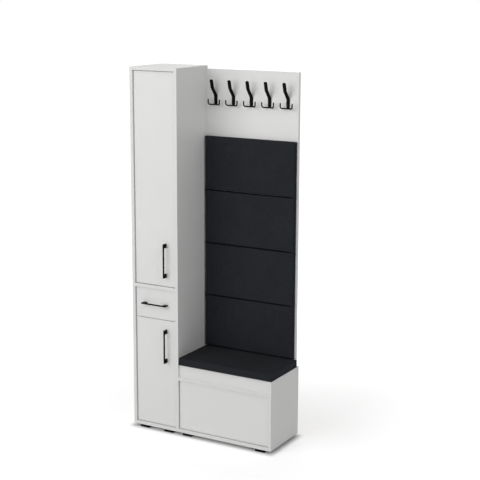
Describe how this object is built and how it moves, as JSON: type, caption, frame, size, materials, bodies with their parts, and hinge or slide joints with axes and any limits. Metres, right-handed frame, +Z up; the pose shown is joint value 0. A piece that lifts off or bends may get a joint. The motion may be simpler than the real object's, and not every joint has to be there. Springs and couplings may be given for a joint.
{
  "type": "hallway wardrobe",
  "caption": "White hallway wardrobe: tall cabinet with hinged doors and a drawer beside a padded shoe bench with tilting flap, upholstered back panels and a row of black coat hooks.",
  "frame": {"origin": "on the floor, at the middle of the footprint's bounding box, handles included", "axes": "+Z up; -Y is the front, where the doors open; +X runs from the tall cabinet to the bench"},
  "size_m": [0.884, 0.341, 2.0365],
  "materials": {
    "white_board": "satin white melamine on chipboard",
    "hardboard": "white lacquered hardboard",
    "plywood": "raw plywood",
    "upholstery": "charcoal woven upholstery over foam",
    "black_metal": "matt black powder coat",
    "zinc_steel": "bright zinc plating",
    "black_plastic": "moulded black plastic",
    "grey_plastic": "moulded grey plastic"
  },
  "bodies": {
    "carcass": {"tall_left_side": "white_board", "tall_right_side": "white_board", "tall_top_panel": "white_board", "tall_bottom_panel": "white_board", "tall_middle_shelf": "white_board", "drawer_divider": "white_board", "tall_back_board": "hardboard", "wall_fixing_rail": "white_board", "adjustable_shelves": "white_board", "shelf_pins": "zinc_steel", "bench_right_side": "white_board", "bench_bottom_panel": "white_board", "bench_rail_board": "white_board", "bench_apron": "white_board", "bench_top_board": "white_board", "bench_back_board": "hardboard", "pad_backing_boards": "plywood", "seat_pad": "upholstery", "back_panel": "white_board", "back_pad_1": "upholstery", "back_pad_2": "upholstery", "back_pad_3": "upholstery", "back_pad_4": "upholstery", "coat_hook_1": "black_metal", "coat_hook_2": "black_metal", "coat_hook_3": "black_metal", "coat_hook_4": "black_metal", "coat_hook_5": "black_metal", "hook_screws": "black_metal", "glide_feet": "black_plastic", "cam_fittings": "zinc_steel", "carcass_screws": "zinc_steel", "pivot_bushes": "grey_plastic", "pivot_plate": "zinc_steel", "runner_outer_channels": "zinc_steel", "flap_pins": "zinc_steel", "push_latch_body": "grey_plastic"},
    "upper_door": {"upper_door": "white_board", "upper_door_handle": "black_metal", "upper_door_handle_screws": "zinc_steel", "upper_door_pivot_pins": "zinc_steel"},
    "lower_door": {"lower_door": "white_board", "lower_door_handle": "black_metal", "lower_door_handle_screws": "zinc_steel", "lower_door_pivot_pins": "zinc_steel"},
    "drawer": {"drawer_front": "white_board", "drawer_left_side": "white_board", "drawer_right_side": "white_board", "drawer_back": "white_board", "drawer_bottom": "hardboard", "drawer_handle": "black_metal", "drawer_handle_screws": "zinc_steel", "runner_inner_channels": "zinc_steel"},
    "runner_middle": {"runner_middle_channels": "zinc_steel"},
    "shoe_flap": {"shoe_flap": "white_board", "rack_cheeks": "black_plastic", "rack_floor": "black_plastic", "rack_divider": "black_plastic"},
    "latch_plunger": {"push_latch_plunger": "grey_plastic"}
  },
  "joints": [
    {"name": "upper_door_hinge", "type": "hinge", "parent": "carcass", "child": "upper_door", "pos_m": [-0.407, -0.134, 1.42975], "axis": [0, 0, -1], "range_deg": [0, 105]},
    {"name": "lower_door_hinge", "type": "hinge", "parent": "carcass", "child": "lower_door", "pos_m": [-0.407, -0.134, 0.3425], "axis": [0, 0, -1], "range_deg": [0, 105]},
    {"name": "drawer_slide", "type": "slide", "parent": "carcass", "child": "drawer", "axis": [0, -1, 0], "range_m": [0, 0.23]},
    {"name": "runner_slide", "type": "slide", "parent": "carcass", "child": "runner_middle", "axis": [0, -1, 0], "range_m": [0, 0.115]},
    {"name": "flap_tilt", "type": "hinge", "parent": "carcass", "child": "shoe_flap", "pos_m": [0.141, -0.1325, 0.053], "axis": [1, 0, 0], "range_deg": [0, 45]},
    {"name": "latch_slide", "type": "slide", "parent": "carcass", "child": "latch_plunger", "axis": [0, -1, 0], "range_m": [0, 0.012]}
  ],
  "couplings": [
    {"joint": "runner_slide", "follows": "drawer_slide", "ratio": 0.5},
    {"joint": "latch_slide", "follows": "flap_tilt", "m_per_rad": 0.015}
  ]
}
